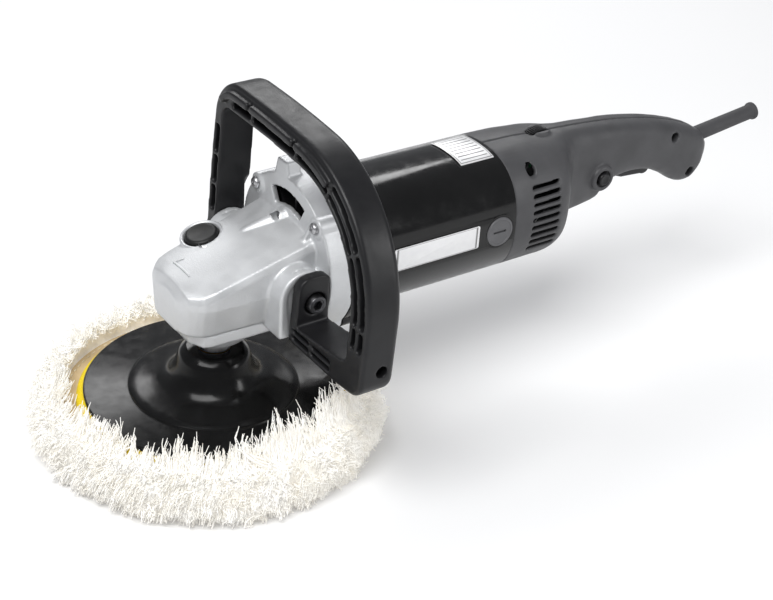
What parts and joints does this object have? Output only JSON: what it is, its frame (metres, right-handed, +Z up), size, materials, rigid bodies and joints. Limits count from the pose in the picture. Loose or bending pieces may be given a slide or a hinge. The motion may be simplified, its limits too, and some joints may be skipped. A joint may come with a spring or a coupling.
{
  "type": "rotary polisher",
  "caption": "Angle-drive rotary polisher with a wool pad on a backing plate, cast gearbox, D-shaped front handle, motor body and rear grip with trigger.",
  "frame": {"origin": "centre of the wool pad's flat working face, on the spindle's axis", "axes": "+Z up along the spindle, away from the work; +X back along the motor to the rear grip; -Y is the side with the D-handle's tall arm"},
  "size_m": [0.6289, 0.269, 0.2392],
  "materials": {
    "cast_aluminium": "fine-grained, satin, bead-blasted",
    "bright_steel": "ground",
    "dark_steel": "oiled black",
    "copper": "lacquered copper",
    "brass": "machined",
    "gloss_black_plastic": "polished black",
    "black_nylon": "satin, glass-filled nylon",
    "grip_plastic": "dark grey, finely textured",
    "soft_grey_rubber": "matte",
    "cap_grey_plastic": "mid grey satin",
    "carbon": "pressed graphite",
    "silver_label": "blank foil",
    "circuit_board": "lacquered board",
    "yellow_foam": "open-cell foam",
    "tan_leather": "suede side out",
    "cream_wool": "long twisted pile"
  },
  "bodies": {
    "housing": {"badge_plate": "silver_label", "bearing_cover": "cast_aluminium", "brush_cap_left": "cap_grey_plastic", "brush_cap_right": "cap_grey_plastic", "brush_holder_left": "brass", "brush_holder_right": "brass", "brush_spring_left": "bright_steel", "brush_spring_right": "bright_steel", "carbon_brush_left": "carbon", "carbon_brush_right": "carbon", "control_board": "circuit_board", "cord_sleeve": "soft_grey_rubber", "cover_screw_1": "dark_steel", "cover_screw_2": "dark_steel", "cover_screw_3": "dark_steel", "cover_screw_4": "dark_steel", "d_handle": "black_nylon", "field_core": "dark_steel", "field_winding_lower": "copper", "field_winding_upper": "copper", "flange_screw_1": "dark_steel", "flange_screw_2": "dark_steel", "flange_screw_3": "dark_steel", "flange_screw_4": "dark_steel", "front_bearing": "bright_steel", "gear_housing": "cast_aluminium", "handle_bolt_left": "dark_steel", "handle_bolt_right": "dark_steel", "handle_shell_left": "grip_plastic", "handle_shell_right": "grip_plastic", "lock_spring": "bright_steel", "lower_bearing": "bright_steel", "motor_housing": "gloss_black_plastic", "rating_plate": "silver_label", "rear_bearing": "bright_steel", "shell_screw_1": "dark_steel", "shell_screw_2": "dark_steel", "shell_screw_3": "dark_steel", "switch_body": "black_nylon", "upper_bush": "brass"},
    "spindle": {"wool_pile": "cream_wool", "leather_backing": "tan_leather", "hook_layer": "black_nylon", "foam_pad": "yellow_foam", "backing_plate": "gloss_black_plastic", "thread_insert": "brass", "spindle": "bright_steel", "bevel_gear": "bright_steel"},
    "armature": {"armature_shaft": "bright_steel", "armature_core": "dark_steel", "armature_winding": "copper", "commutator": "copper", "fan": "black_nylon", "pinion": "bright_steel"},
    "spindle_lock": {"lock_button": "cap_grey_plastic", "lock_pin": "bright_steel"},
    "trigger": {"trigger": "black_nylon"},
    "lock_on_button": {"lock_on_button": "black_nylon"},
    "speed_dial": {"speed_dial": "black_nylon"}
  },
  "joints": [
    {"name": "spindle_spin", "type": "hinge", "parent": "housing", "child": "spindle", "pos_m": [0, 0, 0.035], "axis": [0, 0, 1], "continuous": true},
    {"name": "armature_spin", "type": "hinge", "parent": "housing", "child": "armature", "pos_m": [0.055, 0, 0.1248], "axis": [1, 0, 0], "continuous": true},
    {"name": "spindle_lock_press", "type": "slide", "parent": "housing", "child": "spindle_lock", "axis": [0, 0, -1], "range_m": [0, 0.004], "stiffness_N_per_m": 400, "springref_m": -0.004, "deforming": ["lock_spring"]},
    {"name": "trigger_squeeze", "type": "hinge", "parent": "housing", "child": "trigger", "pos_m": [0.345, 0, 0.1238], "axis": [0, -1, 0], "range_deg": [0, 6], "stiffness_Nm_per_rad": 1.5, "springref_deg": -5.73},
    {"name": "lock_on_press", "type": "slide", "parent": "housing", "child": "lock_on_button", "axis": [0, 1, 0], "range_m": [0, 0.003], "stiffness_N_per_m": 300, "springref_m": -0.002},
    {"name": "speed_dial_turn", "type": "hinge", "parent": "housing", "child": "speed_dial", "pos_m": [0.271, 0, 0.1628], "axis": [0, 1, 0], "range_deg": [-150, 150]}
  ],
  "couplings": [
    {"joint": "armature_spin", "follows": "spindle_spin", "ratio": 3.25}
  ]
}
